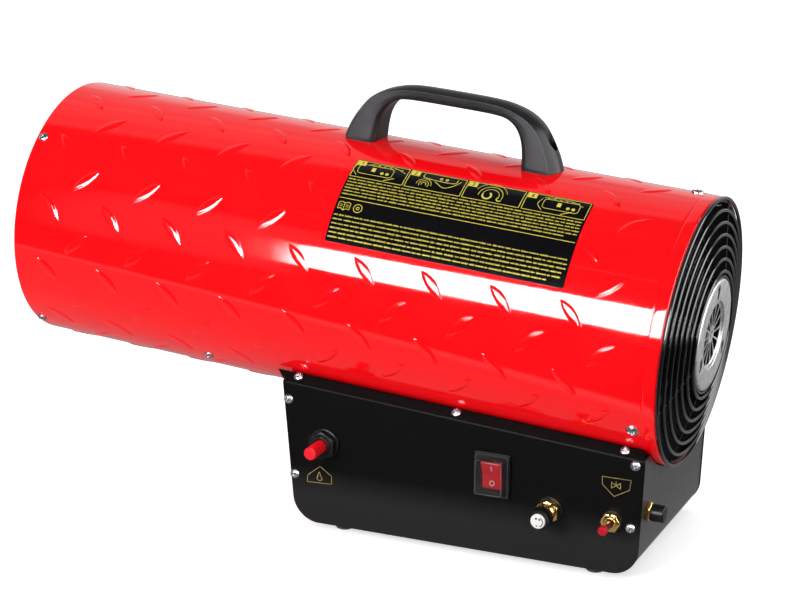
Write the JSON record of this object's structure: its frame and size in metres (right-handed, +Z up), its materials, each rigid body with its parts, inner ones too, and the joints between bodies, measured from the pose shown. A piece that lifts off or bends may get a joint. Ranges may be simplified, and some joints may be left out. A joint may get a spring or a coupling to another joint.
{
  "type": "forced air heater",
  "caption": "Portable gas-fired forced air heater: ribbed steel tube with carry handle and fan guard, tilted up on a folded sheet base with switch, igniter, regulator and gas valve.",
  "frame": {"origin": "under the middle of the object's box, on the surface that the feet stand on", "axes": "+X towards the end where the fan draws air in, -X towards the raised hot end, controls face -Y, +Z up"},
  "size_m": [0.5952, 0.228, 0.3667],
  "materials": {
    "red_paint": "glossy enamel on pressed steel",
    "black_paint": "satin powder coat",
    "black_wire": "smooth powder coat on wire",
    "galvanised": "galvanised sheet with a soft spangle",
    "steel": "bright zinc plating",
    "cast_metal": "cast and pressed, matt",
    "core_iron": "stacked sheet iron",
    "brass": "turned, bright",
    "copper": "drawn copper tube",
    "black_plastic": "moulded, fine grain",
    "red_plastic": "moulded, glossy",
    "white_plastic": "moulded",
    "clear_plastic": "clear, thin walled",
    "ceramic": "glazed ceramic",
    "rubber": "matt",
    "label": "printed film",
    "cable": "sleeved lead"
  },
  "bodies": {
    "heater": {"outer_shell": "red_paint", "heat_shield": "galvanised", "shield_spacer_1": "galvanised", "shield_spacer_2": "galvanised", "shield_spacer_3": "galvanised", "burner_plate": "galvanised", "burner_head": "steel", "gas_nozzle": "brass", "ignition_electrode": "ceramic", "ignition_lead": "cable", "thermocouple": "copper", "overheat_switch": "black_plastic", "motor_plate": "galvanised", "motor_housing": "cast_metal", "stator_pack": "core_iron", "bearing_front": "steel", "bearing_rear": "steel", "fan_guard": "black_wire", "motor_lead": "cable", "base_channel": "black_paint", "front_panel": "black_paint", "back_panel": "black_paint", "foot_1": "rubber", "foot_2": "rubber", "foot_3": "rubber", "foot_4": "rubber", "handle": "black_plastic", "handle_screw_1": "steel", "handle_screw_2": "steel", "igniter_body": "black_plastic", "igniter_nut": "black_plastic", "switch_housing": "black_plastic", "switch_cover": "clear_plastic", "regulator_body": "brass", "regulator_washer": "black_plastic", "regulator_nut": "brass", "valve_body": "brass", "valve_washer": "black_plastic", "valve_nut": "brass", "inlet_fitting": "brass", "link_pipe": "copper", "burner_pipe": "copper", "terminal_block": "white_plastic", "cable_gland": "black_plastic", "instruction_label": "label", "panel_screw_1": "steel", "panel_screw_2": "steel", "panel_screw_3": "steel", "panel_screw_4": "steel"},
    "fan": {"fan_impeller": "cast_metal", "fan_nut": "steel", "motor_shaft": "steel", "rotor_core": "core_iron"},
    "ignition_button": {"ignition_button": "red_plastic"},
    "gas_valve_button": {"gas_valve_button": "red_plastic"},
    "rocker": {"switch_rocker": "red_plastic"},
    "regulator_knob": {"regulator_knob": "black_plastic", "regulator_cap": "white_plastic"},
    "inlet_cap": {"inlet_cap": "black_plastic"}
  },
  "joints": [
    {"name": "fan_spin", "type": "hinge", "parent": "heater", "child": "fan", "pos_m": [-0.00435, 0.0035, 0.2088], "axis": [0.9969, 0, -0.0785], "continuous": true},
    {"name": "ignition_press", "type": "slide", "parent": "heater", "child": "ignition_button", "axis": [0, 1, 0], "range_m": [0, 0.008], "stiffness_N_per_m": 600},
    {"name": "gas_valve_press", "type": "slide", "parent": "heater", "child": "gas_valve_button", "axis": [0, 1, 0], "range_m": [0, 0.006], "stiffness_N_per_m": 800},
    {"name": "rocker_tilt", "type": "hinge", "parent": "heater", "child": "rocker", "pos_m": [0.14015, -0.082, 0.0729], "axis": [1, 0, 0], "range_deg": [-20, 0]},
    {"name": "regulator_turn", "type": "hinge", "parent": "heater", "child": "regulator_knob", "pos_m": [0.18965, -0.084, 0.051], "axis": [0, -1, 0], "range_deg": [0, 270]},
    {"name": "inlet_cap_pull", "type": "slide", "parent": "heater", "child": "inlet_cap", "axis": [0.9993, 0, -0.0384], "range_m": [0, 0.014]}
  ]
}
